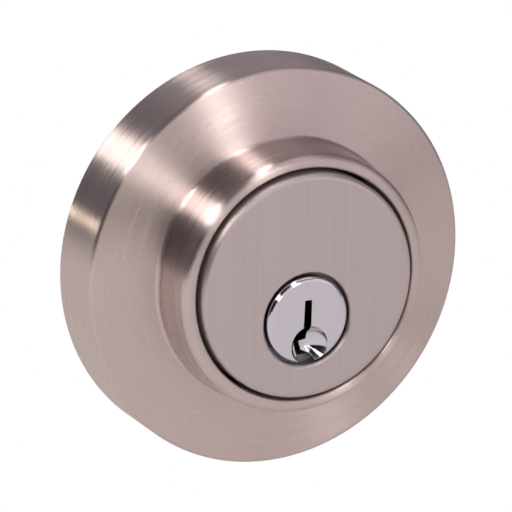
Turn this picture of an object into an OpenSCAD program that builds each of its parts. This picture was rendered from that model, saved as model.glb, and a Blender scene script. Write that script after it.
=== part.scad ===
// Single-cylinder tubular deadbolt, shown as it sits in a door with the bolt thrown.
// -Y is outdoors, +X runs to the door's edge, +Z is up. The origin is where the axis of the
// door's cross bore meets the door's outer face. A "depth" is measured outward from that face.

/* [Door] */
// Thickness of the door
door_t = 44.5; // [35:0.5:55]
// Distance from the door's edge to the axis of the cross bore
backset = 60.3; // [58:0.1:75]
// Diameter of the cross bore
cross_bore_d = 54; // [53:0.5:57]
// Diameter of the bore in the door's edge
edge_bore_d = 25.4; // [25.4:0.1:27]

/* [Outside rosette] */
// Diameter of the outside rosette
rosette_d = 63.5; // [61:0.5:76]
// Depth of the rosette's side wall
rim_depth = 10.7; // [9:0.1:14]
// Rise of the sloping flange from its rim to the collar
flange_rise = 1.4; // [0.4:0.1:2]
// Wall of the collar at its lip
collar_wall = 2.15; // [1.8:0.05:3]
// How much wider the collar's radius is at its foot than at its lip
collar_draft = 0.35; // [0:0.05:0.8]
// Depth of the collar's lip
collar_depth = 20.4; // [18:0.1:25]
// Rounding of the lip's outer edge
lip_round = 1.3; // [0.6:0.1:1.6]
// Fillet at the foot of the collar
foot_fillet = 0.8; // [0.4:0.1:1]
// Wall of the rosette's rim
rim_wall = 2.5; // [1.5:0.1:3.5]
// Depth of the hollow in the rosette's back
rosette_hollow = 6.1; // [5.5:0.1:7]

/* [Cylinder] */
// Diameter of the brushed cap on the cylinder's face
face_d = 35.8; // [35.2:0.1:36.2]
// How far the cylinder's face stands out of the collar
face_proud = 1.1; // [0.2:0.1:3]
// Edge rounding of the cap
face_round = 0.9; // [0.4:0.1:1.2]
// Sheet thickness of the cap
cap_t = 0.8; // [0.6:0.1:1]
// Drop of the key's axis below the rosette's centre
key_drop = 5.3; // [5:0.1:5.6]
// Diameter of the plug's body
plug_d = 12.7; // [12.3:0.1:12.9]
// How far the plug's head is wider than its body, all round
head_lip = 0.55; // [0.4:0.05:0.8]
// Gap between the plug's head and the cap
head_gap = 0.5; // [0.3:0.05:0.8]
// Number of pin stacks
pin_count = 5; // [4:1:6]
// Spacing of the pin stacks
pin_pitch = 3.96; // [3.6:0.01:4]
// Diameter of a pin
pin_d = 2.9; // [2.5:0.05:3]

/* [Bolt] */
// Travel of the bolt
throw = 25.4; // [22:0.1:26]
// Width of the bolt across its flat sides
bolt_w = 15.4; // [14:0.1:16.5]
// Wall of the latch's tube
tube_wall = 1; // [0.8:0.1:1.2]
// Length of the faceplate
plate_h = 57.2; // [55:0.1:64]
// Distance between the faceplate's screws
screw_span = 41.3; // [40:0.1:44]

/* [Inside] */
// Diameter of the inside rosette
inner_rosette_d = 63.5; // [61:0.5:76]
// Depth of the inside rosette
inner_depth = 8.5; // [8:0.1:12]
// Length of the turn piece from tip to tip
turn_len = 34; // [26:0.5:40]
// Thickness of the turn piece
turn_t = 7.5; // [6:0.1:10]
// How far the turn piece stands out from its collar
turn_reach = 16; // [12:0.5:22]

/* [Fits] */
// Radial clearance of a part that turns in another
turn_fit = 0.05; // [0.03:0.01:0.08]
// Clearance around a part that slides
slide_fit = 0.25; // [0.2:0.01:0.3]
// Gap between parts that are stacked
stack_gap = 0.1; // [0.05:0.01:0.15]

/* [Hidden] */
$fn = 64;
e = 0.01;

// Finishes
satin_nickel = [0.72, 0.65, 0.62];
brushed_nickel = [0.66, 0.60, 0.58];
polished = [0.82, 0.82, 0.86];
brass = [0.80, 0.66, 0.36];
zinc = [0.70, 0.72, 0.74];
steel = [0.50, 0.51, 0.53];
spring_steel = [0.35, 0.36, 0.40];
nylon = [0.90, 0.89, 0.85];

// Rosette and cap
rosette_r = rosette_d / 2;
face_r = face_d / 2;
face_depth = collar_depth + face_proud;
collar_bore_r = face_r + 0.6;
top_r = collar_bore_r + collar_wall;
foot_r = top_r + collar_draft;
flange_depth = rim_depth + flange_rise;
rim_round = 0.7;
lip_inner_round = 0.4;
hollow_r = rosette_r - rim_wall;

// Cylinder
key_z = -key_drop;
plug_r = plug_d / 2;
head_r = plug_r + head_lip;
cap_hole_r = head_r + head_gap;
plug_bore_r = plug_r + turn_fit;
head_depth = face_depth + 0.15;
head_back = face_depth - 2.6;
head_round = 0.9;
head_fall = 0.6;
body_r = face_r - cap_t - 0.02;
body_front = face_depth - cap_t;
cap_skirt = 4;
flange_front = rosette_hollow - stack_gap;
flange_back = flange_front - 2.4;
boss_r = cross_bore_d / 2 - 9.1;
drill_pin_x = 8.4;
drill_pin_z = 2;
drill_pin_r = 1.25;
drill_pin_len = 8;
post_x = 13.2;
post_r = 3.3;
post_back = -13;
post_bore_r = 2.45;
post_bore_front = 2;

// Dish that leads the key in, and the slanted cut beside the key's way, about the plug's axis
dish_r = 3.5;
dish_x = 0.4;
dish_z = -4.15;
dish_out = 1.6;
ward_z = -3.6;
ward_tilt = 24;

// Pin stacks
chamber_r = pin_d / 2 + turn_fit;
first_pin = face_depth - 6.5;
pin_depths = [for (i = [0:pin_count - 1]) first_pin - i * pin_pitch];
last_pin = pin_depths[pin_count - 1];
key_pin_lengths = [4.2, 5.7, 3.6, 5.1, 4.5, 3.9];
shear_gap = 0.12;
driver_len = 4.5;
cover_z = 12.6;
cover_t = 1.6;
cover_w = 4;
spring_turns = 6;
spring_wire_r = 0.16;
spring_coil_r = pin_d / 2 - 0.35;

// Plug: depths of its groove, its rear slot and its tail, behind the last pin
keyway_back = last_pin - 4.1;
boss_back = keyway_back - 1.1;
groove_front = boss_back - 0.2;
groove_back = groove_front - 1;
groove_r = plug_r - 0.75;
tail_slot_front = groove_back - 1;
tail_pin_depth = tail_slot_front - 1.5;
tail_pin_r = 0.8;
plug_back = tail_pin_depth - 1.5;

// Blade that links the plug, the crank and the turn piece
blade_t = 2.2;
blade_w = 6.4;
blade_slot_t = blade_t + 0.3;
blade_slot_w = blade_w + 0.3;

// Ring that centres the outside half in the cross bore
ring_front = flange_back - stack_gap;
ring_plate_t = 1.8;
ring_bore_r = boss_r + 0.4;
ring_lip_r = cross_bore_d / 2 - 0.4;
ring_lip_back = -4;
ring_screw_x = boss_r + 3.1;
ring_screw_r = 1.4;
ring_screw_head_r = 2.6;
flange_r = ring_screw_x + 3;

// Latch: its middle plane, and the throw worked by a quarter turn
mid_y = door_t / 2;
quarter = 90;
rise = throw / 2;
crank_drop = 11;
yoke_z = key_z + crank_drop;
yoke_pin_r = 1.3;
tube_r = edge_bore_d / 2 - 0.4;
tube_bore_r = tube_r - tube_wall;
bolt_r = tube_bore_r - slide_fit - 0.05;
plate_w = edge_bore_d;
face_x = backset;
face_t = 2;
back_t = 1.6;
back_x = face_x - face_t;
tube_x = back_x - back_t;
head_t = 1.6;
case_head_x = 18;
tube_back_x = case_head_x + head_t;
bolt_back_x = tube_back_x + 0.4 + throw;
bolt_tip_x = face_x + throw;
pocket_len = 8.6;
pocket_half = 4.6;
pocket_low = -3.2;
pocket_high = 8.2;
tail_in = 2.9;
tail_out = 4.5;
tail_low = yoke_z - 2.1;
tail_high = yoke_z + 2.1;
rivet_x = bolt_back_x + 5;
rivet_zs = [yoke_z, -0.6];
rivet_r = 1.3;
saw_r = 3.1;
saw_front = bolt_tip_x - 4;
crank_half = 2.4;
crank_journal_r = 4.3;
crank_hub_r = 6.5;
cheek_in = 5.3;
cheek_t = 1.2;
cheek_half_h = tube_r - 1.7;
cheek_back_x = -20;
cheek_hole_r = post_r + 0.3;
tab_low = -5.5;
tab_h = 5;
spacer_r = 1.5;
spacer_spots = [[-8.6, -8.8], [8.6, -8.8], [-17.6, -1.5]];
corner_r = 4;

// Fixings
screw_r = 2;
screw_head_r = 4.2;
screw_neck_r = screw_r + 0.3;
screw_hole_r = screw_neck_r + 0.1;
screw_point = 4;
screw_len = 19;
sink_r = screw_head_r + 0.2;
sink_depth = 1.4;
through_r = 2.4;
through_head_r = 4.2;

// Inside half: places along Y
inner_r = inner_rosette_d / 2;
plate_in_t = 1.6;
plate_in_y = door_t;
cup_r = inner_r - 4.75;
cup_wall = 1.6;
cup_y = door_t + 6;
inner_face_y = door_t + inner_depth;
inner_wall = 2;
turn_hole_r = 8.3;
shaft_r = 6;
turn_collar_r = 10.5;
turn_collar_y = inner_face_y + 0.5;
turn_base_y = turn_collar_y + 3.5;
turn_tip_y = turn_base_y + turn_reach;
blade_end_y = turn_base_y - 3;
clip_y = door_t + 3;

// A slab standing in the XZ plane, from y0 to y1
module slab(y0, y1) {
    translate([0, y1, 0]) rotate([90, 0, 0]) linear_extrude(height = y1 - y0) children();
}

// A shape turned about an axis along Y at height z; its points are [radius, depth]
module turned(z = 0) {
    translate([0, 0, z]) rotate([90, 0, 0]) rotate_extrude() children();
}

// A rod along Y
module rod_y(x, z, y0, y1, r) {
    translate([x, y1, z]) rotate([90, 0, 0]) cylinder(r = r, h = y1 - y0);
}

// A bar along X whose section lies in the YZ plane, about the latch's middle
module bar_x(x0, x1) {
    translate([x0, mid_y, 0]) rotate([90, 0, 90]) linear_extrude(height = x1 - x0) children();
}

// A rod along X in the latch
module rod_x(y, z, x0, x1, r) {
    translate([x0, mid_y + y, z]) rotate([0, 90, 0]) cylinder(r = r, h = x1 - x0);
}

// A ring between two radii, as a flat shape
module ring_2d(outer, inner) {
    difference() {
        circle(r = outer);
        circle(r = inner);
    }
}

// Points of a round corner in a profile: centre, radius, first and last angle
function arc(cx, cy, r, a0, a1, n = 8) =
    [for (i = [0:n]) [cx + r * cos(a0 + (a1 - a0) * i / n), cy + r * sin(a0 + (a1 - a0) * i / n)]];

// Outside half ---------------------------------------------------------------------------

module rosette() {
    color(satin_nickel) turned() polygon(concat(
        [[hollow_r, 0], [rosette_r, 0]],
        arc(rosette_r - rim_round, rim_depth - rim_round, rim_round, 0, 88, 5),
        arc(foot_r + foot_fillet, flange_depth + foot_fillet, foot_fillet, 270, 182, 6),
        arc(top_r - lip_round, collar_depth - lip_round, lip_round, 2, 90, 8),
        arc(collar_bore_r + lip_inner_round, collar_depth - lip_inner_round,
            lip_inner_round, 90, 180, 5),
        [[collar_bore_r, rosette_hollow], [hollow_r, rosette_hollow]]));
}

module face_cap() {
    color(brushed_nickel) difference() {
        turned() polygon(concat(
            [[0, face_depth - cap_t], [0, face_depth]],
            arc(face_r - face_round, face_depth - face_round, face_round, 90, 0, 6),
            [[face_r, face_depth - cap_skirt], [face_r - cap_t, face_depth - cap_skirt],
             [face_r - cap_t, face_depth - cap_t]]));
        turned(key_z) polygon([[0, face_depth - cap_t - 1], [cap_hole_r, face_depth - cap_t - 1],
            [cap_hole_r, face_depth - 0.3], [cap_hole_r + 0.4, face_depth + 0.1],
            [0, face_depth + 0.1]]);
    }
}

module cylinder_housing() {
    color(zinc) difference() {
        union() {
            turned() polygon([[0, boss_back], [boss_r, boss_back], [boss_r, flange_back],
                [flange_r, flange_back], [flange_r, flange_front], [face_r, flange_front],
                [face_r, face_depth - cap_skirt - stack_gap],
                [body_r, face_depth - cap_skirt - stack_gap], [body_r, body_front - 0.02],
                [0, body_front - 0.02]]);
            for (side = [-1, 1]) rod_y(side * post_x, key_z, -boss_back - e, -post_back, post_r);
        }
        // Bore of the plug, with its counterbore for the head
        rod_y(0, key_z, -face_depth, -boss_back + 1, plug_bore_r);
        rod_y(0, key_z, -face_depth, -head_back + 0.1, cap_hole_r + 0.1);
        // Chambers of the pins, and the groove of their cover
        for (d = pin_depths) translate([0, -d, key_z]) cylinder(r = chamber_r, h = cover_z - key_z + 1);
        translate([-cover_w / 2, -first_pin - 2.5, cover_z])
            cube([cover_w, pin_pitch * (pin_count - 1) + 5, face_r]);
        // Screw holes of the posts, of the ring, and the blind holes of the hard pins
        for (side = [-1, 1]) {
            rod_y(side * post_x, key_z, -post_bore_front, -post_back + 1, post_bore_r);
            rod_y(side * ring_screw_x, 0, -flange_front - 1, -flange_back + 1, ring_screw_r);
            rod_y(side * drill_pin_x, drill_pin_z, -face_depth, -body_front + drill_pin_len,
                drill_pin_r);
        }
    }
}

// Outline of the key's way through the plug, about the plug's axis
module keyway_2d() {
    polygon([[-0.6, 3.2], [0.6, 3.2], [0.6, -1.2], [0.85, -1.85], [0.6, -2.6], [0.6, -3.6],
        [-0.7, -3.75], [-0.2, -5.25], [1.25, -5.85], [2.05, -head_r - 1], [-1.2, -head_r - 1],
        [-1.3, -5.55], [-1.95, -3.35], [-1.75, -2.3], [-0.7, -1.2]]);
}

// Outline of the slanted cut beside the key's way
module ward_cut_2d() {
    polygon([[-0.7, -3.75], [0.65, -3.55], [3.45, -4.65], [2.1, -6.75], [1.25, -5.85], [-0.2, -5.25]]);
}

module plug() {
    color(polished) difference() {
        turned(key_z) polygon(concat(
            [[0, plug_back], [plug_r, plug_back], [plug_r, groove_back], [groove_r, groove_back],
             [groove_r, groove_front], [plug_r, groove_front], [plug_r, head_back],
             [head_r, head_back]],
            [for (a = [0:quarter / 6:quarter]) [head_r - head_round * (1 - cos(a)),
                head_depth - head_fall * (1 - sin(a))]],
            [[0, head_depth]]));
        translate([0, 0, key_z]) slab(-face_depth - 1, -keyway_back) keyway_2d();
        // Round dish that leads the key in
        translate([dish_x, -head_depth - dish_out, key_z + dish_z]) sphere(r = dish_r);
        // Slanted cut
        translate([0, -head_depth + 0.1, key_z + ward_z]) rotate([-ward_tilt, 0, 0])
            translate([0, 0, -ward_z]) slab(-3, 0.55) ward_cut_2d();
        for (d = pin_depths) translate([0, -d, key_z - 0.6]) cylinder(r = chamber_r, h = plug_r + 1);
        translate([-blade_slot_t / 2, -tail_slot_front, key_z - blade_slot_w / 2])
            cube([blade_slot_t, tail_slot_front - plug_back + 1, blade_slot_w]);
        translate([-plug_r - 1, -tail_pin_depth, key_z]) rotate([0, 90, 0])
            cylinder(r = tail_pin_r, h = plug_d + 2);
    }
}

// The key's pins stand with their tops at the plug's surface, as the right key holds them
module key_pins() {
    color(brass) for (i = [0:pin_count - 1]) translate([0, -pin_depths[i], key_z + plug_r - 0.15])
        rotate([180, 0, 0]) union() {
            cylinder(r = pin_d / 2, h = key_pin_lengths[i] - 1);
            translate([0, 0, key_pin_lengths[i] - 1]) cylinder(r1 = pin_d / 2, r2 = 0.4, h = 1);
        }
}

module driver_pins() {
    color(zinc) for (d = pin_depths) translate([0, -d, key_z + plug_bore_r + shear_gap])
        cylinder(r = pin_d / 2, h = driver_len);
}

// Each spring is drawn as a stack of its coils
module pin_springs() {
    low = key_z + plug_bore_r + shear_gap + driver_len;
    pitch = (cover_z - low - 2 * spring_wire_r) / (spring_turns - 1);
    color(spring_steel) for (d = pin_depths) translate([0, -d, low + spring_wire_r]) {
        for (i = [0:spring_turns - 1]) translate([0, 0, i * pitch])
            rotate_extrude() translate([spring_coil_r, 0]) circle(r = spring_wire_r, $fn = 16);
        translate([-spring_coil_r, 0, 0]) cylinder(r = spring_wire_r / 2, h = pitch * (spring_turns - 1));
    }
}

module chamber_cover() {
    color(brass) translate([-cover_w / 2 + 0.03, -first_pin - 2.4, cover_z])
        cube([cover_w - 0.06, pin_pitch * (pin_count - 1) + 4.8, cover_t]);
}

module anti_drill_pins() {
    color(spring_steel) for (side = [-1, 1])
        rod_y(side * drill_pin_x, drill_pin_z, -body_front + 0.05, -body_front + drill_pin_len - 0.1,
            drill_pin_r - 0.03);
}

module retaining_clip() {
    color(spring_steel) difference() {
        translate([0, 0, key_z]) slab(-groove_front + 0.03, -groove_back - 0.03)
            ring_2d(plug_r + 2, groove_r + 0.05);
        translate([-groove_r * 0.7, -groove_front - 1, key_z - plug_r - 4])
            cube([groove_r * 1.4, 3, plug_r + 2]);
    }
}

module tail_pin() {
    color(steel) translate([-plug_r + 0.4, -tail_pin_depth, key_z]) rotate([0, 90, 0])
        cylinder(r = tail_pin_r - 0.02, h = plug_d - 0.8);
}

module tailpiece() {
    color(steel) difference() {
        translate([-blade_t / 2, -tail_slot_front + 0.2, key_z - blade_w / 2])
            cube([blade_t, blade_end_y + tail_slot_front - 0.2, blade_w]);
        translate([-blade_t, -tail_pin_depth, key_z]) rotate([0, 90, 0])
            cylinder(r = tail_pin_r + 0.3, h = 2 * blade_t);
    }
}

module bore_ring() {
    color(steel) difference() {
        turned() polygon([[ring_bore_r, ring_front], [hollow_r - 0.3, ring_front],
            [hollow_r - 0.3, ring_front - ring_plate_t], [ring_lip_r, ring_front - ring_plate_t],
            [ring_lip_r, ring_lip_back], [ring_lip_r - 1.6, ring_lip_back],
            [ring_lip_r - 1.6, ring_front - ring_plate_t], [ring_bore_r, ring_front - ring_plate_t]]);
        for (side = [-1, 1]) rod_y(side * ring_screw_x, 0, -ring_front - 1, 1, ring_screw_r + 0.15);
    }
}

module ring_screws() {
    back = -ring_front + ring_plate_t;
    color(steel) for (side = [-1, 1]) difference() {
        union() {
            rod_y(side * ring_screw_x, 0, -flange_front + 0.2, back + e, ring_screw_r - 0.02);
            rod_y(side * ring_screw_x, 0, back, back + 1.4, ring_screw_head_r);
        }
        translate([side * ring_screw_x - 0.35, back + 0.7, -3]) cube([0.7, 2, 6]);
    }
}

// Latch -----------------------------------------------------------------------------------

// Section of the bolt: a round bar with two flats
module bolt_2d(extra = 0) {
    intersection() {
        circle(r = bolt_r + extra);
        square([bolt_w + 2 * extra, 2 * bolt_r + 2], center = true);
    }
}

// A plate with round corners, about the latch's middle
module round_plate_2d(w, h, r) {
    square([w - 2 * r, h], center = true);
    square([w, h - 2 * r], center = true);
    for (sy = [-1, 1], sz = [-1, 1]) translate([sy * (w / 2 - r), sz * (h / 2 - r)]) circle(r = r);
}

module faceplate() {
    color(satin_nickel) difference() {
        bar_x(back_x, face_x) difference() {
            round_plate_2d(plate_w, plate_h, 6.3);
            bolt_2d(slide_fit);
            for (s = [-1, 1]) translate([0, s * screw_span / 2]) circle(r = screw_hole_r);
        }
        for (s = [-1, 1]) translate([face_x + e, mid_y, s * screw_span / 2]) rotate([0, -90, 0])
            cylinder(r1 = sink_r, r2 = screw_hole_r, h = sink_depth);
    }
}

module backplate() {
    color(steel) bar_x(tube_x, back_x) difference() {
        round_plate_2d(plate_w - 2.4, plate_h - 2.4, 5);
        bolt_2d(slide_fit);
        for (s = [-1, 1]) translate([0, s * screw_span / 2]) circle(r = screw_hole_r);
    }
}

module latch_tube() {
    color(steel) bar_x(tube_back_x, tube_x) ring_2d(tube_r, tube_bore_r);
}

module case_head() {
    color(steel) bar_x(case_head_x, tube_back_x) difference() {
        circle(r = tube_r);
        translate([-tail_out - slide_fit, tail_low - slide_fit])
            square([2 * (tail_out + slide_fit), tail_high - tail_low + 2 * slide_fit]);
        for (s = [-1, 1]) translate([s * (cheek_in + cheek_t / 2), tab_low + tab_h / 2])
            square([cheek_t + 0.04, tab_h + 0.04], center = true);
    }
}

// One side plate of the case, with its two tabs, in the layer from y0
module case_plate(y0) {
    color(steel) difference() {
        union() {
            slab(y0, y0 + cheek_t) difference() {
                union() {
                    translate([cheek_back_x + corner_r, -cheek_half_h])
                        square([case_head_x - cheek_back_x - corner_r, 2 * cheek_half_h]);
                    translate([cheek_back_x, -cheek_half_h + corner_r])
                        square([corner_r + 1, 2 * (cheek_half_h - corner_r)]);
                    for (s = [-1, 1]) translate([cheek_back_x + corner_r, s * (cheek_half_h - corner_r)])
                        circle(r = corner_r);
                }
                translate([0, key_z]) circle(r = crank_journal_r + turn_fit);
                for (s = [-1, 1]) translate([s * post_x, key_z]) circle(r = cheek_hole_r);
                for (p = spacer_spots) translate(p) circle(r = spacer_r);
            }
            slab(y0, y0 + cheek_t) translate([case_head_x - e, tab_low]) square([head_t + e, tab_h]);
        }
    }
}

module case_plate_outer() {
    case_plate(mid_y - cheek_in - cheek_t);
}

module case_plate_inner() {
    case_plate(mid_y + cheek_in);
}

module case_spacers() {
    color(zinc) for (p = spacer_spots) {
        rod_y(p[0], p[1], mid_y - cheek_in - cheek_t, mid_y + cheek_in + cheek_t, spacer_r - 0.02);
        rod_y(p[0], p[1], mid_y - cheek_in + 0.02, mid_y + cheek_in - 0.02, spacer_r + 0.5);
    }
}

// Where the yoke pin stands in the crank's own frame when the crank is a degrees past upright
function pin_path(a) = let (x = rise * a / (quarter / 2))
    [x * cos(a) - crank_drop * sin(a), x * sin(a) + crank_drop * cos(a)];

// The crank's slot follows the pin on both sides of upright, with the same room all round the pin
module crank_slot_2d() {
    room = yoke_pin_r + 0.25;
    steps = [for (a = [0:5:quarter / 2]) a];
    polygon(concat([for (a = steps) pin_path(a)],
        [for (a = [quarter / 2:-5:5]) [-pin_path(a)[0], pin_path(a)[1]]]));
    for (a = steps, s = [-1, 1]) translate([s * pin_path(a)[0], pin_path(a)[1]]) circle(r = room);
}

module crank() {
    tip = pin_path(quarter / 2)[1] - 1;
    tip_r = 5.3;
    color(zinc) translate([0, 0, key_z]) rotate([0, quarter / 2, 0]) difference() {
        union() {
            slab(mid_y - crank_half, mid_y + crank_half) {
                circle(r = crank_hub_r);
                polygon([[-crank_hub_r, 0], [crank_hub_r, 0], [tip_r, tip], [-tip_r, tip]]);
                translate([0, tip]) circle(r = tip_r);
            }
            rod_y(0, 0, mid_y - cheek_in - cheek_t - 0.4, mid_y + cheek_in + cheek_t + 0.4,
                crank_journal_r);
        }
        slab(mid_y - 10, mid_y + 10) crank_slot_2d();
        slab(mid_y - 10, mid_y + 10) rotate(quarter / 2)
            square([blade_slot_t, blade_slot_w], center = true);
    }
}

module bolt() {
    chamfer = 1;
    color(satin_nickel) difference() {
        union() {
            bar_x(bolt_back_x, bolt_tip_x - chamfer) bolt_2d();
            intersection() {
                bar_x(bolt_tip_x - chamfer - e, bolt_tip_x) bolt_2d();
                translate([bolt_tip_x - chamfer, mid_y, 0]) rotate([0, 90, 0])
                    cylinder(r1 = bolt_r, r2 = bolt_r - chamfer, h = chamfer);
            }
        }
        // Pocket of the tail, bore of the hard pin, and the holes of the rivets
        bar_x(bolt_back_x - 1, bolt_back_x + pocket_len)
            translate([-pocket_half, pocket_low]) square([2 * pocket_half, pocket_high - pocket_low]);
        rod_x(0, 0, bolt_back_x + pocket_len - 1, saw_front + 0.3, saw_r + 0.15);
        for (z = rivet_zs) rod_y(rivet_x, z, mid_y - bolt_r, mid_y + bolt_r, rivet_r);
    }
}

module saw_pin() {
    color(spring_steel) rod_x(0, 0, bolt_back_x + pocket_len + 0.2, saw_front, saw_r);
}

// Two strips that straddle the crank, joined by the block that sits in the bolt's pocket
module bolt_tail() {
    pin_x = rise;
    block_back = bolt_back_x + 1;
    block_front = bolt_back_x + pocket_len - 0.1;
    color(steel) difference() {
        union() {
            for (s = [-1, 1]) {
                y0 = mid_y + (s > 0 ? tail_in : -tail_out);
                slab(y0, y0 + tail_out - tail_in) {
                    translate([pin_x, tail_low]) square([block_front - pin_x, tail_high - tail_low]);
                    translate([pin_x, yoke_z]) circle(r = (tail_high - tail_low) / 2);
                    translate([block_back, pocket_low + 0.1])
                        square([block_front - block_back, tail_high - pocket_low - 0.1]);
                }
            }
            slab(mid_y - tail_in - e, mid_y + tail_in + e) translate([block_back, pocket_low + 0.1])
                square([block_front - block_back, tail_high - pocket_low - 0.1]);
        }
        rod_y(pin_x, yoke_z, mid_y - 10, mid_y + 10, yoke_pin_r);
        for (z = rivet_zs) rod_y(rivet_x, z, mid_y - bolt_r, mid_y + bolt_r, rivet_r);
    }
}

module tail_rivets() {
    color(steel) for (z = rivet_zs)
        rod_y(rivet_x, z, mid_y - bolt_w / 2 + 0.2, mid_y + bolt_w / 2 - 0.2, rivet_r - 0.02);
}

module yoke_pin() {
    color(spring_steel) rod_y(rise, yoke_z, mid_y - tail_out, mid_y + tail_out, yoke_pin_r - 0.02);
}

// A bowed leaf that rubs on the tail and holds the bolt where it is left
module detent_leaf() {
    bow_r = 40;
    half = 9;
    low = tail_high + 0.15;
    color(spring_steel) slab(mid_y - cheek_in + 0.05, mid_y - crank_half - 0.3)
        translate([2, low + bow_r]) intersection() {
            ring_2d(bow_r, bow_r - 0.5);
            translate([-half, -bow_r - 1]) square([2 * half, 4]);
        }
}

module faceplate_screws() {
    head_h = sink_depth * (screw_head_r - screw_neck_r) / (sink_r - screw_hole_r);
    cross_w = 0.8;
    color(satin_nickel) for (s = [-1, 1]) translate([face_x, mid_y, s * screw_span / 2])
        rotate([0, -90, 0]) difference() {
            union() {
                cylinder(r1 = screw_head_r, r2 = screw_neck_r, h = head_h);
                cylinder(r = screw_neck_r, h = face_t + back_t);
                cylinder(r = screw_r, h = screw_len - screw_point);
                translate([0, 0, screw_len - screw_point])
                    cylinder(r1 = screw_r, r2 = 0.3, h = screw_point);
            }
            for (turn = [0, 90]) rotate(turn) translate([-2.4, -cross_w / 2, -1])
                cube([4.8, cross_w, 1.8]);
        }
}

// Inside half -----------------------------------------------------------------------------

module inside_plate() {
    color(steel) difference() {
        turned() polygon([[0, -plate_in_y], [cup_r, -plate_in_y], [cup_r, -cup_y],
            [cup_r - cup_wall, -cup_y], [cup_r - cup_wall, -plate_in_y - plate_in_t],
            [0, -plate_in_y - plate_in_t]]);
        rod_y(0, key_z, door_t - 1, door_t + 3, shaft_r + 0.5);
        for (s = [-1, 1]) rod_y(s * post_x, key_z, door_t - 1, door_t + 3, through_r + 0.3);
    }
}

module through_bolts() {
    seat = plate_in_y + plate_in_t;
    color(zinc) for (s = [-1, 1]) difference() {
        union() {
            rod_y(s * post_x, key_z, -post_bore_front + 2, seat + e, through_r);
            rod_y(s * post_x, key_z, seat, seat + 2.6, through_head_r);
        }
        for (turn = [0, 90]) translate([s * post_x, seat + 1, key_z]) rotate([0, turn, 0])
            translate([-2.6, 0, -0.45]) cube([5.2, 3, 0.9]);
    }
}

module inside_rosette() {
    color(satin_nickel) difference() {
        turned() polygon(concat(
            [[inner_r - inner_wall, -door_t], [inner_r, -door_t]],
            arc(inner_r - 1.5, -inner_face_y + 2, 1.5, 0, -80, 7),
            [[turn_collar_r + 4, -inner_face_y], [0, -inner_face_y], [0, -inner_face_y + inner_wall],
             [inner_r - inner_wall, -inner_face_y + inner_wall + 0.5]]));
        rod_y(0, key_z, door_t, inner_face_y + 1, turn_hole_r);
        translate([0, cup_y - 2, -inner_r - 1]) cylinder(r = 1.5, h = inner_wall + 3);
    }
}

module set_screw() {
    color(spring_steel) difference() {
        translate([0, cup_y - 2, -inner_r + 0.4]) cylinder(r = 1.48, h = inner_r - cup_r - 0.42);
        translate([0, cup_y - 2, -inner_r]) cylinder(r = 0.8, h = 1.9, $fn = 6);
    }
}

// Outline of the turn piece, seen from indoors: a bar with round ends
module turn_2d() {
    square([turn_len - turn_t, turn_t], center = true);
    for (s = [-1, 1]) translate([s * (turn_len - turn_t) / 2, 0]) circle(r = turn_t / 2);
}

module thumbturn() {
    crown_r = turn_len * 0.8;
    color(satin_nickel) translate([0, 0, key_z]) difference() {
        union() {
            rod_y(0, 0, clip_y - 1.2, turn_collar_y + e, shaft_r);
            turned() polygon(concat([[0, -turn_collar_y], [turn_collar_r, -turn_collar_y]],
                arc(turn_collar_r - 1, -turn_base_y + 1, 1, 0, -90, 5), [[0, -turn_base_y]]));
            intersection() {
                slab(turn_base_y - e, turn_tip_y) turn_2d();
                translate([0, turn_tip_y - crown_r, -turn_t]) cylinder(r = crown_r, h = 2 * turn_t, $fn = 96);
            }
        }
        translate([-blade_slot_t / 2, clip_y - 2, -blade_slot_w / 2])
            cube([blade_slot_t, blade_end_y + 0.4 - clip_y + 2, blade_slot_w]);
        // Groove of the clip
        slab(clip_y, clip_y + 1) ring_2d(shaft_r + 1, shaft_r - 0.6);
    }
}

module turn_bush() {
    color(nylon) translate([0, 0, key_z]) {
        slab(inner_face_y - inner_wall - 1, inner_face_y) ring_2d(turn_hole_r - 0.03, shaft_r + turn_fit);
        slab(inner_face_y - inner_wall - 1.6, inner_face_y - inner_wall - 0.6)
            ring_2d(turn_hole_r + 1.4, shaft_r + turn_fit);
    }
}

module wave_washer() {
    color(spring_steel) translate([0, 0, key_z]) slab(clip_y + 1.2, clip_y + 1.6)
        ring_2d(shaft_r + 2.4, shaft_r + 0.15);
}

module turn_clip() {
    color(spring_steel) translate([0, 0, key_z]) difference() {
        slab(clip_y + 0.05, clip_y + 0.95) ring_2d(shaft_r + 1.9, shaft_r - 0.55);
        translate([-shaft_r * 0.6, clip_y - 1, -shaft_r - 3]) cube([shaft_r * 1.2, 3, shaft_r]);
    }
}

rosette();
face_cap();
cylinder_housing();
plug();
key_pins();
driver_pins();
pin_springs();
chamber_cover();
anti_drill_pins();
retaining_clip();
tail_pin();
tailpiece();
bore_ring();
ring_screws();
faceplate();
backplate();
latch_tube();
case_head();
case_plate_outer();
case_plate_inner();
case_spacers();
crank();
bolt();
saw_pin();
bolt_tail();
tail_rivets();
yoke_pin();
detent_leaf();
faceplate_screws();
inside_plate();
through_bolts();
inside_rosette();
set_screw();
thumbturn();
turn_bush();
wave_washer();
turn_clip();
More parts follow.
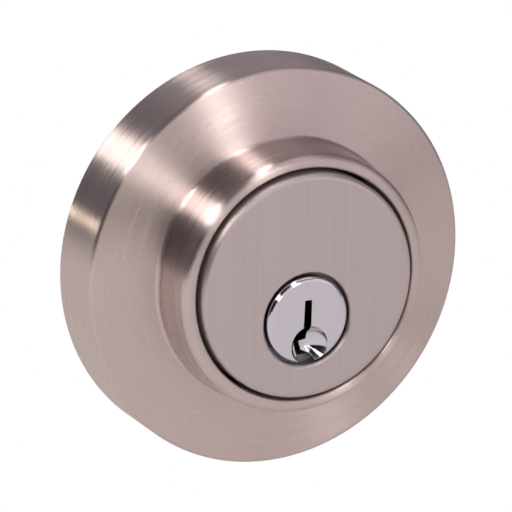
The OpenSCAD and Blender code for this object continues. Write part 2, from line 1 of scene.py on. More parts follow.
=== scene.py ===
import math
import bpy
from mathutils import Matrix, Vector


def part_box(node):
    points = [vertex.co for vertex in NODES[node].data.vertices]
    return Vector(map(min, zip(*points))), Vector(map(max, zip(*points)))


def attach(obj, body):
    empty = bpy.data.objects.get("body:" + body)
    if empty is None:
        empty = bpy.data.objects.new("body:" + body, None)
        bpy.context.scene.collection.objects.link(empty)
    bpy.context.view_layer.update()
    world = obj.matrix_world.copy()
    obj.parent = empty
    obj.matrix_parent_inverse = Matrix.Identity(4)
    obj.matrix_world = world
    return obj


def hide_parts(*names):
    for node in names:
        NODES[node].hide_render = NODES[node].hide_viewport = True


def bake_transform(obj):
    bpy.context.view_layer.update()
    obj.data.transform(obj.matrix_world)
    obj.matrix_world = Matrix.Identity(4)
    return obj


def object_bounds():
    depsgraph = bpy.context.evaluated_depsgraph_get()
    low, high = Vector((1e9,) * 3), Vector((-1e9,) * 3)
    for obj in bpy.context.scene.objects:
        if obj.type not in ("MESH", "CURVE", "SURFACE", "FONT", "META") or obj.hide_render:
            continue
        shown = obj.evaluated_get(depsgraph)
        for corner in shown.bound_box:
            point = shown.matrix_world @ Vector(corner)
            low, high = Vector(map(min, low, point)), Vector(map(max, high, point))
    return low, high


bl_info = {
    "name": "Deadbolt finishes",
    "version": (1, 0, 0),
    "blender": (4, 5, 0),
    "location": "View3D > Sidebar > Deadbolt",
    "description": "Finishes, threads, springs and a plain stage for a tubular deadbolt",
    "category": "Object",
}

import bmesh
import bpy
from mathutils import Matrix, Vector

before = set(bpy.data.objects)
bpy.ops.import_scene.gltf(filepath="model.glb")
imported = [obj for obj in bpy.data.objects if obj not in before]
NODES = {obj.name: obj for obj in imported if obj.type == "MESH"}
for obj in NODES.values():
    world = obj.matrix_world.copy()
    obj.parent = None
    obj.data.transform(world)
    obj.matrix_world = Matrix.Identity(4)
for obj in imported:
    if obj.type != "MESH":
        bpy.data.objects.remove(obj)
CAD_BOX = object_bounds()
MM = 0.001

# Sizes of the lock that no node's box gives
PIN_PITCH = 3.96 * MM
THROUGH_BOLT_SHANK = 2.4 * MM
THROUGH_BOLT_HEAD = 2.6 * MM
SCREW_TIP = 4 * MM

# Stage
FLOOR_DROP = 22 * MM
FLOOR_HALF = 2.0
DOOR_GAP = 0.3 * MM
DOOR_HOLE = 26 * MM
DOOR_REACH, DOOR_TOP = 0.4, 0.3
SURROUND_START, SURROUND_FULL = 0.25, 1.1
SURROUND_RADIUS, SURROUND_TOP = 1.9, 1.5
AIM_Y = -9.4 * MM
SHIFT_LEFT, SHIFT_UP = 2.57 * MM, 1.34 * MM

CREAM, COOL, WARM = (1.0, 0.99, 0.93), (1.0, 0.94, 0.985), (1.0, 0.93, 0.70)
# Lighter colour for worn edges of the satin nickel: partly wear, partly a painted highlight along the edges
WORN_EDGE_SHEEN = (0.86, 0.80, 0.76)


# Settings ----------------------------------------------------------------------------------


def color_setting(name, description, default):
    return bpy.props.FloatVectorProperty(
        name=name, description=description, default=default, subtype="COLOR", size=3, min=0, max=1)


class DeadboltSettings(bpy.types.PropertyGroup):
    rosette_color: color_setting("Rosette", "Colour of the turned rosette", (0.60, 0.49, 0.475))
    face_color: color_setting("Face", "Colour of the brushed face", (0.54, 0.455, 0.46))
    plug_color: color_setting("Plug", "Colour of the polished plug", (0.62, 0.585, 0.64))
    satin_color: color_setting("Satin", "Colour of the latch and the inside half", (0.60, 0.50, 0.485))
    bolt_color: color_setting("Bolt", "Colour of the bolt", (0.60, 0.505, 0.49))
    brass_color: color_setting("Brass", "Colour of the key pins", (0.78, 0.58, 0.27))
    nylon_color: color_setting("Nylon", "Colour of the turn piece's bush", (0.82, 0.81, 0.77))
    grain: bpy.props.FloatProperty(
        name="Grain", description="Strength of the brushing on satin metal", default=1.0, min=0, max=2)
    # Scales the wear along edges, and with it the painted highlight that lightens them
    wear: bpy.props.FloatProperty(
        name="Wear", description="Strength of the wear along edges", default=1.0, min=0, max=2)
    screw_pitch: bpy.props.FloatProperty(
        name="Wood screw pitch", description="Pitch of the wood screws' thread",
        default=1.6 * MM, unit="LENGTH", precision=5)
    bolt_pitch: bpy.props.FloatProperty(
        name="Machine screw pitch", description="Pitch of the through bolts' thread",
        default=0.8 * MM, unit="LENGTH", precision=5)
    spring_wire: bpy.props.FloatProperty(
        name="Spring wire", description="Diameter of the pin springs' wire",
        default=0.3 * MM, unit="LENGTH", precision=5)
    spring_turns: bpy.props.IntProperty(
        name="Spring turns", description="Turns of each pin spring", default=7, min=4, max=12)
    azimuth: bpy.props.FloatProperty(
        name="Azimuth", description="Camera's angle round the lock",
        default=math.radians(-27.35), subtype="ANGLE")
    elevation: bpy.props.FloatProperty(
        name="Elevation", description="Camera's angle above the horizon",
        default=math.radians(17.4), subtype="ANGLE")
    roll: bpy.props.FloatProperty(
        name="Roll", description="Camera's turn about its own line of sight",
        default=math.radians(1.69), subtype="ANGLE")
    distance: bpy.props.FloatProperty(
        name="Distance", description="Camera's distance from the rosette",
        default=0.827, unit="LENGTH")
    lens: bpy.props.FloatProperty(
        name="Lens", description="Focal length in millimetres", default=377.0, min=50, max=600)
    room: bpy.props.FloatProperty(
        name="Room light", description="Strength of the even light of the room", default=0.21, min=0)


# Shader building ---------------------------------------------------------------------------


class Tree:
    """Short names for the shader nodes that the finishes share."""

    def __init__(self, name):
        self.material = bpy.data.materials.new(name)
        self.material.use_nodes = True
        self.nt = self.material.node_tree
        self.nt.nodes.clear()

    def node(self, kind, **fields):
        n = self.nt.nodes.new("ShaderNode" + kind)
        for key, value in fields.items():
            setattr(n, key, value)
        return n

    def put(self, socket, value):
        if isinstance(value, bpy.types.NodeSocket):
            self.nt.links.new(value, socket)
        elif isinstance(value, (tuple, list, Vector)) and socket.type == "RGBA" and len(value) == 3:
            socket.default_value = (*value, 1)
        else:
            socket.default_value = value

    def math(self, op, a, b=None, c=None, clamp=False):
        n = self.node("Math", operation=op, use_clamp=clamp)
        for socket, value in zip(n.inputs, (a, b, c)):
            if value is not None:
                self.put(socket, value)
        return n.outputs[0]

    def vector(self, op, a, b=None):
        n = self.node("VectorMath", operation=op)
        self.put(n.inputs[0], a)
        if b is not None:
            self.put(n.inputs[1], b)
        return n.outputs["Value" if op in ("DOT_PRODUCT", "LENGTH") else "Vector"]

    def split(self, vector):
        n = self.node("SeparateXYZ")
        self.put(n.inputs[0], vector)
        return n.outputs

    def combine(self, x, y, z):
        n = self.node("CombineXYZ")
        for socket, value in zip(n.inputs, (x, y, z)):
            self.put(socket, value)
        return n.outputs[0]

    def noise(self, vector, scale, detail=2.0, w=None, rough=0.5):
        n = self.node("TexNoise", noise_dimensions="3D" if w is None else "4D")
        self.put(n.inputs["Vector"], vector)
        if w is not None:
            self.put(n.inputs["W"], w)
        self.put(n.inputs["Scale"], scale)
        self.put(n.inputs["Detail"], detail)
        self.put(n.inputs["Roughness"], rough)
        return n.outputs["Fac"]

    def ramp(self, value, lo, hi, to_lo=0.0, to_hi=1.0):
        n = self.node("MapRange", clamp=True, interpolation_type="SMOOTHSTEP")
        for name, v in (("Value", value), ("From Min", lo), ("From Max", hi),
                        ("To Min", to_lo), ("To Max", to_hi)):
            self.put(n.inputs[name], v)
        return n.outputs[0]

    def mix(self, factor, a, b):
        n = self.node("Mix", data_type="RGBA")
        self.put(n.inputs["Factor"], factor)
        self.put(n.inputs[6], a)
        self.put(n.inputs[7], b)
        return n.outputs[2]

    def bump(self, height, strength, distance, normal):
        n = self.node("Bump")
        self.put(n.inputs["Strength"], strength)
        self.put(n.inputs["Distance"], distance)
        self.put(n.inputs["Height"], height)
        self.put(n.inputs["Normal"], normal)
        return n.outputs[0]

    def glow(self, color, clear):
        """An even glow, and clear where the mask says so."""
        light = self.node("Emission")
        self.put(light.inputs["Color"], color)
        mix = self.node("MixShader")
        self.put(mix.inputs[0], clear)
        self.nt.links.new(light.outputs[0], mix.inputs[1])
        self.nt.links.new(self.node("BsdfTransparent").outputs[0], mix.inputs[2])
        return self.output(mix)

    def output(self, shader):
        self.nt.links.new(shader.outputs[0], self.node("OutputMaterial").inputs[0])
        return self.material

    def finish(self, color, roughness, metallic, normal, tangent=None, anisotropy=0.0):
        shader = self.node("BsdfPrincipled")
        self.put(shader.inputs["Base Color"], color)
        self.put(shader.inputs["Roughness"], roughness)
        self.put(shader.inputs["Metallic"], metallic)
        self.put(shader.inputs["Normal"], normal)
        if tangent is not None:
            self.put(shader.inputs["Anisotropic"], anisotropy)
            self.put(shader.inputs["Tangent"], tangent)
        return self.output(shader)


def edge_mask(t, width):
    """Where the surface bends within a width: the softened normal, and a mask of the edges."""
    bevel = t.node("Bevel", samples=4)
    t.put(bevel.inputs["Radius"], width)
    true = t.node("NewGeometry").outputs["True Normal"]
    same = t.vector("DOT_PRODUCT", bevel.outputs[0], true)
    return bevel.outputs[0], t.ramp(same, 0.995, 0.80)


def metal(name, color, roughness, lay=None, centre=(0, 0, 0), anisotropy=0.0, grain=0.15 * MM,
          depth=0.02 * MM, spread=0.08, wear=0.5, tint=None, blotch=0.04, edge=0.25 * MM,
          worn_and_sheen=None, plated=None):
    """A metal finish. lay is the direction of its brushing: 'turned' about Y, or 'x', 'y', 'z'."""
    settings = bpy.context.scene.deadbolt
    t = Tree(name)
    place = t.vector("SUBTRACT", t.node("TexCoord").outputs["Object"], centre)
    x, y, z = t.split(place)
    tangent = None
    if lay == "turned":
        radius = t.vector("LENGTH", t.combine(x, 0.0, z))
        around = t.vector("NORMALIZE", t.combine(x, 0.0, z))
        around_x, _, around_z = t.split(around)
        # Along the lines the grain changes slowly, a few times in a turn
        soft = 8 * grain
        lines = t.combine(radius, t.math("MULTIPLY", around_x, soft), t.math("MULTIPLY", around_z, soft))
        fine = t.noise(lines, 1 / grain, 3, w=y)
        broad = t.noise(lines, 0.16 / grain, 2, w=y)
        along = t.vector("CROSS_PRODUCT", (0, 1, 0), around)
    elif lay:
        stretch = tuple(0.012 if lay == axis else 1.0 for axis in "xyz")
        lines = t.vector("MULTIPLY", place, stretch)
        fine = t.noise(lines, 1 / grain, 3)
        broad = t.noise(lines, 0.16 / grain, 2)
        along = tuple(1.0 if lay == axis else 0.0 for axis in "xyz")
    else:
        fine = t.noise(place, 1 / grain, 3)
        broad = t.noise(place, 0.16 / grain, 2)
    if lay:
        # The highlight spreads across the brushing
        normal = t.node("NewGeometry").outputs["Normal"]
        tangent = t.vector("NORMALIZE", t.vector("CROSS_PRODUCT", normal, along))
    soft_normal, edges = edge_mask(t, edge)
    patch = t.noise(place, 90, 3)
    nicks = t.ramp(t.noise(place, 900, 2, rough=0.7), 0.60, 0.72)
    # Rubbed edges: the lower roughness there is wear, and the lighter colour laid on them is a painted
    # highlight along every edge
    rubbed_and_sheen = t.math("MULTIPLY", edges, t.ramp(t.noise(place, 260, 3), 0.35, 0.65, 0.35, 1.0))
    rubbed_and_sheen = t.math("MULTIPLY", rubbed_and_sheen, wear * settings.wear, clamp=True)
    dark = tuple(c * (1 - 2.2 * blotch) for c in color)
    light = tint or tuple(min(1, c * (1 + blotch)) for c in color)
    lined = t.ramp(broad, 0.3, 0.7)
    base = t.math("MULTIPLY_ADD", lined, 0.4, t.math("MULTIPLY", patch, 0.3))
    base = t.mix(t.math("MULTIPLY_ADD", fine, 0.3, base), dark, light)
    if plated:
        # Bare metal deep inside, and on the walls of the slot above the dish
        front, mid, bare = plated
        deep = t.ramp(y, front + 2.2 * MM, front + 3 * MM)
        slot = t.math("MULTIPLY", t.ramp(y, front + 0.3 * MM, front + 0.5 * MM),
                      t.ramp(z, mid - 1.7 * MM, mid - 1.1 * MM))
        slot = t.math("MULTIPLY", slot, t.ramp(t.math("ABSOLUTE", x), 1.0 * MM, 1.3 * MM, 1.0, 0.0))
        base = t.mix(t.math("MAXIMUM", deep, slot), base, bare)
    # Edges lightened towards the worn colour: partly wear, partly a painted highlight
    base = t.mix(rubbed_and_sheen, base, worn_and_sheen or tuple(min(1, c * 1.18) for c in color))
    rough = t.math("MULTIPLY_ADD", t.math("SUBTRACT", fine, 0.5), spread, roughness)
    rough = t.math("MULTIPLY_ADD", t.math("SUBTRACT", patch, 0.5), spread * 0.6, rough)
    rough = t.math("MULTIPLY_ADD", t.math("SUBTRACT", lined, 0.5), spread * 0.6, rough)
    rough = t.math("MULTIPLY_ADD", rubbed_and_sheen, -0.3 * roughness, rough, clamp=True)
    height = t.math("MULTIPLY_ADD", broad, 0.6, fine)
    height = t.math("MULTIPLY_ADD", t.math("MULTIPLY", nicks, edges), -2.5 * wear, height)
    bump = t.bump(height, min(1.0, 0.5 * settings.grain), depth, soft_normal)
    return t.finish(base, rough, 1.0, bump, tangent, anisotropy)


def plastic(name, color):
    """Moulded plastic with a faint texture."""
    t = Tree(name)
    place = t.node("TexCoord").outputs["Object"]
    soft_normal, edges = edge_mask(t, 0.3 * MM)
    fine = t.noise(place, 5000, 3)
    base = t.mix(t.noise(place, 120, 3), tuple(c * 0.93 for c in color), tuple(color))
    rough = t.math("MULTIPLY_ADD", fine, 0.15, 0.35)
    rough = t.math("MULTIPLY_ADD", edges, -0.1, rough)
    return t.finish(base, rough, 0.0, t.bump(fine, 0.2, 0.02 * MM, soft_normal))


def give(material, *names):
    """Puts a material on CAD nodes."""
    for name in names:
        slots = NODES[name].data.materials
        slots.clear()
        slots.append(material)
        for polygon in NODES[name].data.polygons:
            polygon.material_index = 0


# Mesh building -----------------------------------------------------------------------------


def build(name, bm, outward=True):
    """Turns a bmesh into an object of the scene, with its faces turned outward unless told not to."""
    if outward:
        bmesh.ops.recalc_face_normals(bm, faces=bm.faces)
    mesh = bpy.data.meshes.new(name)
    bm.to_mesh(mesh)
    bm.free()
    obj = bpy.data.objects.new(name, mesh)
    bpy.context.scene.collection.objects.link(obj)
    return obj


def lathe(name, rows, segments, to_world):
    """A turned body. rows gives (distance along the axis, radius or a function of the angle)."""
    bm = bmesh.new()
    rings = []
    for along, radius in rows:
        ring = []
        for i in range(segments):
            a = 2 * math.pi * i / segments
            r = radius(a) if callable(radius) else radius
            ring.append(bm.verts.new(to_world(along, r * math.cos(a), r * math.sin(a))))
        rings.append(ring)
    for a, b in zip(rings, rings[1:]):
        for i in range(segments):
            j = (i + 1) % segments
            bm.faces.new((a[i], a[j], b[j], b[i]))
    bm.faces.new(list(reversed(rings[0])))
    bm.faces.new(rings[-1])
    return build(name, bm)


def smooth(obj, degrees=35):
    """Smooth shading, with the edges sharper than an angle kept."""
    bm = bmesh.new()
    bm.from_mesh(obj.data)
    limit = math.radians(degrees)
    for edge in bm.edges:
        edge.smooth = len(edge.link_faces) == 2 and edge.calc_face_angle(0) < limit
    for face in bm.faces:
        face.smooth = True
    bm.to_mesh(obj.data)
    bm.free()


def thread_rows(start, end, root, crest, pitch, steps, taper_end=None):
    """Rows of a screw thread between two distances. taper_end is where it narrows to, if it does."""
    count = max(2, int(round((end - start) / pitch * steps)))
    rows = []
    for i in range(count + 1):
        d = start + (end - start) * i / count
        fade = min(1.0, i / steps, (count - i) / steps if taper_end is None else 1.0)
        shrink = 1.0
        if taper_end is not None and d > taper_end:
            shrink = max(0.08, 1 - (d - taper_end) / (end - taper_end))

        def radius(a, d=d, fade=fade, shrink=shrink):
            phase = (d / pitch - a / (2 * math.pi)) % 1.0
            rise = max(0.0, 1 - abs(phase - 0.5) * 2 / 0.72)
            return (root + (crest - root) * (rise * fade)) * shrink

        rows.append((d, radius))
    return rows


def cross_recess(size, width, depth, to_world):
    """A cutter with four tapering wings for a cross recess, from just above the head to its depth."""
    bm = bmesh.new()
    for turn in (0, math.pi / 2):
        corners = []
        for along, half, thick in ((-0.2 * MM, size, width), (depth, size * 0.35, width * 0.6)):
            for u, v in ((-1, -1), (1, -1), (1, 1), (-1, 1)):
                p, q = u * half, v * thick / 2
                corners.append(bm.verts.new(to_world(
                    along, p * math.cos(turn) - q * math.sin(turn), p * math.sin(turn) + q * math.cos(turn))))
        a, b = corners[:4], corners[4:]
        bm.faces.new(list(reversed(a)))
        bm.faces.new(b)
        for i in range(4):
            bm.faces.new((a[i], a[(i + 1) % 4], b[(i + 1) % 4], b[i]))
    return build("cutter", bm)


def cut(obj, cutter):
    """Takes the cutter out of an object for good."""
    modifier = obj.modifiers.new("cut", "BOOLEAN")
    modifier.operation = "DIFFERENCE"
    modifier.solver = "EXACT"
    modifier.use_self = True
    modifier.object = cutter
    bpy.context.view_layer.update()
    evaluated = obj.evaluated_get(bpy.context.evaluated_depsgraph_get())
    mesh = bpy.data.meshes.new_from_object(evaluated)
    obj.modifiers.clear()
    obj.data = mesh
    bpy.data.objects.remove(cutter)
    if not mesh.polygons:
        raise RuntimeError("the recess took the whole screw away")


def join(name, parts):
    """One object from several."""
    bm = bmesh.new()
    for part in parts:
        bm.from_mesh(part.data)
    for part in parts:
        bpy.data.objects.remove(part)
    return build(name, bm, outward=False)


# Operators ---------------------------------------------------------------------------------


class DEADBOLT_OT_outside(bpy.types.Operator):
    """Finishes the rosette, the face and the plug"""

    bl_idname = "deadbolt.outside"
    bl_label = "Outside half"

    def execute(self, context):
        settings = context.scene.deadbolt
        give(metal("satin_nickel_turned", settings.rosette_color, 0.30, "turned", anisotropy=1.0,
                   grain=0.14 * MM, depth=0.022 * MM, spread=0.12, blotch=0.06, wear=0.7,
                   worn_and_sheen=WORN_EDGE_SHEEN), "rosette")
        # The worn colour lightens the face's edges: partly wear, partly a painted highlight
        give(metal("satin_nickel_brushed", settings.face_color, 0.42, "z", anisotropy=0.7,
                   grain=0.10 * MM, wear=0.8, worn_and_sheen=(0.84, 0.80, 0.78)), "face_cap")
        low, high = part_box("plug")
        give(metal("polished_chrome", settings.plug_color, 0.07, None, grain=0.5 * MM, depth=0.003 * MM,
                   spread=0.04, wear=0.3, blotch=0.01, edge=0.15 * MM,
                   plated=(low.y, (low.z + high.z) / 2, (0.60, 0.40, 0.15))), "plug")
        return {"FINISHED"}


class DEADBOLT_OT_cylinder(bpy.types.Operator):
    """Finishes the housing, the pins and the small parts of the cylinder"""

    bl_idname = "deadbolt.cylinder"
    bl_label = "Cylinder"

    def execute(self, context):
        give(metal("cast_zinc", (0.34, 0.34, 0.355), 0.5, None, grain=0.35 * MM, depth=0.05 * MM,
                   spread=0.25, blotch=0.08), "cylinder_housing", "crank")
        give(metal("brass", context.scene.deadbolt.brass_color, 0.28, "z", anisotropy=0.3, grain=0.12 * MM),
             "key_pins", "chamber_cover")
        give(metal("spring_steel", (0.24, 0.24, 0.26), 0.35, None, grain=0.2 * MM, spread=0.15,
                   blotch=0.1), "anti_drill_pins", "retaining_clip", "wave_washer", "turn_clip",
             "set_screw", "saw_pin", "yoke_pin", "detent_leaf")
        give(zinc_plate(), "driver_pins", "tail_pin", "tailpiece", "bore_ring", "ring_screws")
        return {"FINISHED"}


def zinc_plate():
    """Zinc-plated steel, shared by the stamped parts."""
    found = bpy.data.materials.get("zinc_plated_steel")
    return found or metal("zinc_plated_steel", (0.55, 0.56, 0.575), 0.33, None, grain=0.3 * MM,
                          depth=0.02 * MM, spread=0.2, blotch=0.07, tint=(0.60, 0.60, 0.585))


class DEADBOLT_OT_springs(bpy.types.Operator):
    """Winds the pin springs as real coils"""

    bl_idname = "deadbolt.springs"
    bl_label = "Pin springs"

    def execute(self, context):
        settings = context.scene.deadbolt
        low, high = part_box("pin_springs")
        pins_low, pins_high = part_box("driver_pins")
        wire = settings.spring_wire / 2
        coil = (high.x - low.x) / 2 - wire
        count = round((pins_high.y - pins_low.y) / PIN_PITCH)
        first, last = low.y + coil + wire, high.y - coil - wire
        turns, around, section = settings.spring_turns, 20, 8
        total = turns * around
        bm = bmesh.new()
        for k in range(count):
            y = first + (last - first) * k / max(1, count - 1)
            rings = []
            for i in range(total + 1):
                a = 2 * math.pi * i / around
                share = i / total
                height = low.z + wire + (high.z - low.z - 2 * wire) * share
                out = Vector((math.cos(a), math.sin(a), 0))
                centre = Vector((0, y, height)) + out * coil
                # The wire thins a little over the first and the last turn
                size = wire * (0.85 + 0.15 * min(1.0, share * turns, (1 - share) * turns))
                angles = [2 * math.pi * j / section for j in range(section)]
                rings.append([bm.verts.new(centre + out * (size * math.cos(b))
                                           + Vector((0, 0, size * math.sin(b)))) for b in angles])
            for p, q in zip(rings, rings[1:]):
                for j in range(section):
                    bm.faces.new((p[j], p[(j + 1) % section], q[(j + 1) % section], q[j]))
            bm.faces.new(list(reversed(rings[0])))
            bm.faces.new(rings[-1])
        obj = build("coil_springs", bm)
        smooth(obj, 50)
        obj.data.materials.append(bpy.data.materials["spring_steel"])
        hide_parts("pin_springs")
        # Each coil stands on its driver pin, and its other end stays under the cover
        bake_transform(obj)
        return {"FINISHED"}


class DEADBOLT_OT_latch(bpy.types.Operator):
    """Finishes the latch: plates, tube, case, bolt and its tail"""

    bl_idname = "deadbolt.latch"
    bl_label = "Latch"

    def execute(self, context):
        settings = context.scene.deadbolt
        give(metal("satin_nickel_faceplate", settings.satin_color, 0.36, "z", anisotropy=0.5,
                   grain=0.12 * MM, wear=0.8, worn_and_sheen=WORN_EDGE_SHEEN), "faceplate")
        # The worn colour lightens the bolt's edges: partly wear, partly a painted highlight
        give(metal("satin_nickel_bolt", settings.bolt_color, 0.33, "x", anisotropy=0.5,
                   grain=0.12 * MM, wear=0.9, worn_and_sheen=(0.88, 0.82, 0.78)), "bolt")
        give(zinc_plate(), "backplate", "latch_tube", "case_head", "case_plate_outer",
             "case_plate_inner", "case_spacers", "bolt_tail", "tail_rivets")
        return {"FINISHED"}


class DEADBOLT_OT_latch_screws(bpy.types.Operator):
    """Builds the two wood screws of the faceplate, with thread and cross recess"""

    bl_idname = "deadbolt.latch_screws"
    bl_label = "Faceplate screws"

    def execute(self, context):
        settings = context.scene.deadbolt
        low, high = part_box("faceplate_screws")
        head_r = (high.y - low.y) / 2
        mid_y = (high.y + low.y) / 2
        length = high.x - low.x
        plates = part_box("faceplate")[1].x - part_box("backplate")[0].x
        neck, crest = head_r - 1.9 * MM, head_r - 2.2 * MM
        cone = 1.33 * MM
        parts = []
        for z in (low.z + head_r, high.z - head_r):
            def to_world(along, u, v, z=z):
                return Vector((high.x - along, mid_y + u, z + v))
            rows = [(0, head_r - 0.12 * MM), (0.06 * MM, head_r - 0.03 * MM), (0.12 * MM, head_r - 0.08 * MM),
                    (cone, neck), (plates - 0.1 * MM, neck), (plates, crest * 0.75)]
            rows += thread_rows(plates + 0.3 * MM, length, crest * 0.66, crest,
                                settings.screw_pitch, 10, length - SCREW_TIP)
            screw = lathe("screw", rows, 40, to_world)
            cut(screw, cross_recess(size=2.1 * MM, width=0.95 * MM, depth=2.1 * MM, to_world=to_world))
            parts.append(screw)
        obj = join("latch_screws", parts)
        smooth(obj)
        # The worn colour lightens the screw heads' edges: partly wear, partly a painted highlight
        obj.data.materials.append(metal("satin_nickel_screw", settings.satin_color, 0.28, None,
                                        grain=0.15 * MM, wear=0.9, worn_and_sheen=(0.88, 0.83, 0.79)))
        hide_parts("faceplate_screws")
        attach(obj, "lock_case")
        return {"FINISHED"}


class DEADBOLT_OT_through_bolts(bpy.types.Operator):
    """Builds the two machine screws that join the halves"""

    bl_idname = "deadbolt.through_bolts"
    bl_label = "Through bolts"

    def execute(self, context):
        settings = context.scene.deadbolt
        low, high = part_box("through_bolts")
        head_r = (high.z - low.z) / 2
        mid_z = (high.z + low.z) / 2
        length = high.y - low.y
        shank, head = THROUGH_BOLT_SHANK, THROUGH_BOLT_HEAD
        parts = []
        for x in (low.x + head_r, high.x - head_r):
            def to_world(along, u, v, x=x):
                return Vector((x + v, high.y - along, mid_z + u))
            rows = [(0, head_r - 0.9 * MM), (0.25 * MM, head_r - 0.45 * MM), (0.7 * MM, head_r - 0.1 * MM),
                    (1.2 * MM, head_r), (head - 0.15 * MM, head_r), (head, head_r - 0.15 * MM),
                    (head + 0.01 * MM, shank * 0.9)]
            rows += thread_rows(head + 0.4 * MM, length - 0.5 * MM, shank * 0.84, shank,
                                settings.bolt_pitch, 8)
            rows.append((length, shank * 0.7))
            screw = lathe("screw", rows, 36, to_world)
            cut(screw, cross_recess(size=2.3 * MM, width=1.0 * MM, depth=2.0 * MM, to_world=to_world))
            parts.append(screw)
        obj = join("machine_screws", parts)
        smooth(obj)
        obj.data.materials.append(zinc_plate())
        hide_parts("through_bolts")
        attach(obj, "lock_case")
        return {"FINISHED"}


class DEADBOLT_OT_inside(bpy.types.Operator):
    """Finishes the inside half: rosette, plate, turn piece and bush"""

    bl_idname = "deadbolt.inside"
    bl_label = "Inside half"

    def execute(self, context):
        settings = context.scene.deadbolt
        give(metal("satin_nickel_inside", settings.satin_color, 0.36, "turned", anisotropy=0.7,
                   grain=0.12 * MM, wear=0.7, worn_and_sheen=WORN_EDGE_SHEEN), "inside_rosette")
        # The worn colour lightens the turn piece's edges: partly wear, partly a painted highlight
        give(metal("satin_nickel_turn", settings.satin_color, 0.34, "x", anisotropy=0.45,
                   grain=0.12 * MM, wear=0.9, worn_and_sheen=(0.88, 0.82, 0.78)), "thumbturn")
        give(zinc_plate(), "inside_plate")
        give(plastic("nylon", settings.nylon_color), "turn_bush")
        return {"FINISHED"}


# Stage -------------------------------------------------------------------------------------


def area_light(name, place, aim, size, power, color, long=None):
    """A rectangular softbox that faces a point. long is the direction that its height follows."""
    data = bpy.data.lights.new(name, "AREA")
    data.shape = "RECTANGLE"
    data.size, data.size_y = size
    data.energy = power
    data.color = color
    obj = bpy.data.objects.new(name, data)
    obj.location = place
    toward = Vector(aim) - Vector(place)
    if long is None:
        obj.rotation_euler = toward.to_track_quat("-Z", "Y").to_euler()
    else:
        back = -toward.normalized()
        long = (long - back * long.dot(back)).normalized()
        obj.rotation_euler = Matrix((long.cross(back), long, back)).transposed().to_euler()
    bpy.context.scene.collection.objects.link(obj)


def round_y(degrees):
    """The direction at an angle round the Y axis from +X."""
    a = math.radians(degrees)
    return Vector((math.cos(a), 0, math.sin(a)))


def strip_light(name, degrees, radius, size, y, power, color):
    """A long narrow light beside the lock that lies along Y."""
    middle = Vector((0, y, 0))
    area_light(name, middle + round_y(degrees) * radius, middle, size, power, color, Vector((0, 1, 0)))


def front_strip(name, degrees, toward, distance, size, power, color):
    """A long narrow light in front of the lock that lies along a direction round Y."""
    place = Vector(toward).normalized() * distance
    area_light(name, place, (0, 0, 0), size, power, color, round_y(degrees))


def floor_surface(name, color):
    """A pale ground with a faint glow of its own."""
    t = Tree(name)
    shader = t.node("BsdfPrincipled")
    t.put(shader.inputs["Base Color"], color)
    t.put(shader.inputs["Roughness"], 0.8)
    t.put(shader.inputs["Emission Color"], color)
    t.put(shader.inputs["Emission Strength"], 0.14)
    return t.output(shader)


def door_surface(name, color):
    """An even glow on one side, and clear from behind."""
    t = Tree(name)
    return t.glow(color, t.node("NewGeometry").outputs["Backfacing"])


def surround_surface(name, color):
    """An even glow that fades out towards the middle of the stage."""
    t = Tree(name)
    x, y, _ = t.split(t.node("TexCoord").outputs["Object"])
    radius = t.vector("LENGTH", t.combine(x, y, 0.0))
    return t.glow(color, t.ramp(radius, SURROUND_START, SURROUND_FULL, 1.0, 0.0))


def stage_piece(name, points, faces, material):
    """A piece of the stage from points and faces."""
    mesh = bpy.data.meshes.new(name)
    mesh.from_pydata(points, [], faces)
    mesh.materials.append(material)
    obj = bpy.data.objects.new(name, mesh)
    bpy.context.scene.collection.objects.link(obj)
    return obj


def only_seen(*pieces):
    """Leaves pieces to be seen, without light or shadow from them on anything else."""
    for piece in pieces:
        for name in ("diffuse", "glossy", "transmission", "volume_scatter", "shadow"):
            setattr(piece, "visible_" + name, False)


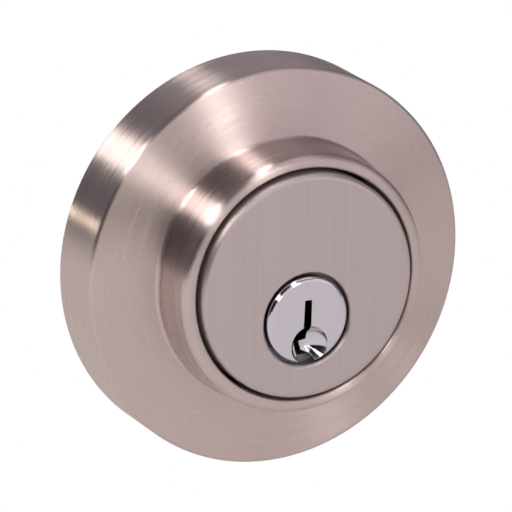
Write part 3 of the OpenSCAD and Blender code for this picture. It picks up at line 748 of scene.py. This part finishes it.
class DEADBOLT_OT_stage(bpy.types.Operator):
    """Sets the floor, the door's outer face, the surround, the light and the camera"""

    bl_idname = "deadbolt.stage"
    bl_label = "Stage"

    def execute(self, context):
        settings = context.scene.deadbolt
        scene = context.scene
        floor_z = CAD_BOX[0].z - FLOOR_DROP
        corners = [(u * FLOOR_HALF, v * FLOOR_HALF, floor_z) for u, v in ((-1, -1), (1, -1), (1, 1), (-1, 1))]
        floor = stage_piece("floor", corners, [(0, 1, 2, 3)], floor_surface("pale_floor", (0.85, 0.84, 0.83)))
        door_face = self.door_face(floor_z)
        surround = self.surround(floor_z)
        only_seen(door_face, surround)
        self.light(scene, settings)
        self.camera(scene, settings)
        return {"FINISHED"}

    def door_face(self, floor_z):
        """The door's outer face, which hides what sits inside the door from the front."""
        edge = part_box("faceplate")[1].x
        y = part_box("rosette")[1].y + DOOR_GAP
        sides = 64
        bm = bmesh.new()
        outer = ((edge, floor_z), (edge, DOOR_TOP), (-DOOR_REACH, DOOR_TOP), (-DOOR_REACH, floor_z))
        corners = [bm.verts.new((x, y, z)) for x, z in outer]
        ring = [bm.verts.new(round_y(360 * i / sides) * DOOR_HOLE + Vector((0, y, 0))) for i in range(sides)]
        edges = [bm.edges.new((loop[i], loop[(i + 1) % len(loop)]))
                 for loop in (corners, ring) for i in range(len(loop))]
        bmesh.ops.triangle_fill(bm, edges=edges, use_beauty=True)
        for face in bm.faces:
            face.normal_update()
            if face.normal.y > 0:
                face.normal_flip()
        obj = build("door_face", bm, outward=False)
        obj.data.materials.append(door_surface("door_white", (1, 1, 1)))
        return obj

    def surround(self, floor_z):
        """A pale ground and wall all round, over the floor's far part."""
        sides = 96
        ground = floor_z + 0.2 * MM
        rows = ((SURROUND_START, ground), (SURROUND_RADIUS, ground), (SURROUND_RADIUS, SURROUND_TOP))
        turns = [2 * math.pi * i / sides for i in range(sides)]
        points = [(r * math.cos(a), r * math.sin(a), z) for r, z in rows for a in turns]
        faces = [(k * sides + i, k * sides + (i + 1) % sides, (k + 1) * sides + (i + 1) % sides,
                  (k + 1) * sides + i) for k in range(len(rows) - 1) for i in range(sides)]
        return stage_piece("surround", points, faces, surround_surface("pale_surround", (0.82, 0.81, 0.80)))

    def light(self, scene, settings):
        self.room(scene, settings)
        aim = (0, -0.01, 0)
        strip_light("left_strip", 138, 0.62, (0.16, 1.9), -0.20, 3.8, CREAM)
        strip_light("top_strip", 93, 0.70, (0.12, 1.3), -0.30, 1.9, CREAM)
        front_strip("left_front_strip", 142, (-0.053, -0.994, 0.095), 1.2, (0.11, 0.96), 0.6, CREAM)
        front_strip("top_front_strip", 111.5, (0.236, -0.945, 0.227), 1.2, (0.12, 0.9), 1.0, CREAM)
        strip_light("warm_strip", 177, 0.60, (0.02, 0.35), 0.80, 0.45, WARM)
        area_light("front_softbox", (0.62, -1.10, 0.30), aim, (1.6, 0.7), 2.8, COOL)
        area_light("top_softbox", (0.28, -0.45, 0.75), aim, (0.5, 0.5), 0.6, COOL)
        area_light("back_softbox", (0.30, 1.00, 0.50), aim, (0.9, 0.6), 0.5, COOL)
        scene.view_settings.view_transform = "Standard"

    def room(self, scene, settings):
        """Even light all round, less from in front of the lock and to its left."""
        world = bpy.data.worlds.new("room")
        scene.world = world
        world.use_nodes = True
        tree = world.node_tree
        background = tree.nodes["Background"]
        background.inputs["Color"].default_value = (0.97, 0.90, 1.0, 1)
        place = tree.nodes.new("ShaderNodeTexCoord")
        dot = tree.nodes.new("ShaderNodeVectorMath")
        dot.operation = "DOT_PRODUCT"
        dot.inputs[1].default_value = Vector((-0.52, -0.84, 0.14)).normalized()
        dim = tree.nodes.new("ShaderNodeMapRange")
        dim.interpolation_type = "SMOOTHSTEP"
        for name, value in (("From Min", 0.40), ("From Max", 0.92), ("To Min", settings.room),
                            ("To Max", settings.room * 0.12)):
            dim.inputs[name].default_value = value
        tree.links.new(place.outputs["Generated"], dot.inputs[0])
        tree.links.new(dot.outputs["Value"], dim.inputs["Value"])
        tree.links.new(dim.outputs[0], background.inputs["Strength"])

    def camera(self, scene, settings):
        a, e, r = settings.azimuth, settings.elevation, settings.roll
        back = Vector((math.sin(a) * math.cos(e), -math.cos(a) * math.cos(e), math.sin(e)))
        right = Vector((math.cos(a), math.sin(a), 0))
        up = back.cross(right)
        right, up = right * math.cos(r) + up * math.sin(r), up * math.cos(r) - right * math.sin(r)
        target = Vector((0, AIM_Y, 0))
        data = bpy.data.cameras.new("camera")
        data.sensor_width = 36
        data.lens = settings.lens
        data.clip_start, data.clip_end = 0.05, 10
        camera = bpy.data.objects.new("camera", data)
        # Beside the target, so that the lock sits where it should in the frame
        place = target + back * settings.distance - right * SHIFT_LEFT + up * SHIFT_UP
        camera.matrix_world = Matrix.Translation(place) @ Matrix((right, up, back)).transposed().to_4x4()
        scene.collection.objects.link(camera)
        scene.camera = camera


# Panel and registration --------------------------------------------------------------------

STEPS = (
    DEADBOLT_OT_outside, DEADBOLT_OT_cylinder, DEADBOLT_OT_springs, DEADBOLT_OT_latch,
    DEADBOLT_OT_latch_screws, DEADBOLT_OT_through_bolts, DEADBOLT_OT_inside, DEADBOLT_OT_stage,
)


class DEADBOLT_PT_panel(bpy.types.Panel):
    """Lists the steps that finish the lock"""

    bl_label = "Deadbolt"
    bl_idname = "DEADBOLT_PT_panel"
    bl_space_type = "VIEW_3D"
    bl_region_type = "UI"
    bl_category = "Deadbolt"

    def draw(self, context):
        settings = context.scene.deadbolt
        for name in settings.__annotations__:
            self.layout.prop(settings, name)
        for step in STEPS:
            self.layout.operator(step.bl_idname)


CLASSES = (DeadboltSettings, *STEPS, DEADBOLT_PT_panel)


def register():
    for cls in CLASSES:
        bpy.utils.register_class(cls)
    bpy.types.Scene.deadbolt = bpy.props.PointerProperty(type=DeadboltSettings)


def unregister():
    del bpy.types.Scene.deadbolt
    for cls in reversed(CLASSES):
        bpy.utils.unregister_class(cls)


def main():
    register()
    for step in STEPS:
        group, name = step.bl_idname.split(".")
        if getattr(getattr(bpy.ops, group), name)() != {"FINISHED"}:
            raise RuntimeError(step.bl_idname + " didn't finish")


if __name__ == "__main__":
    main()
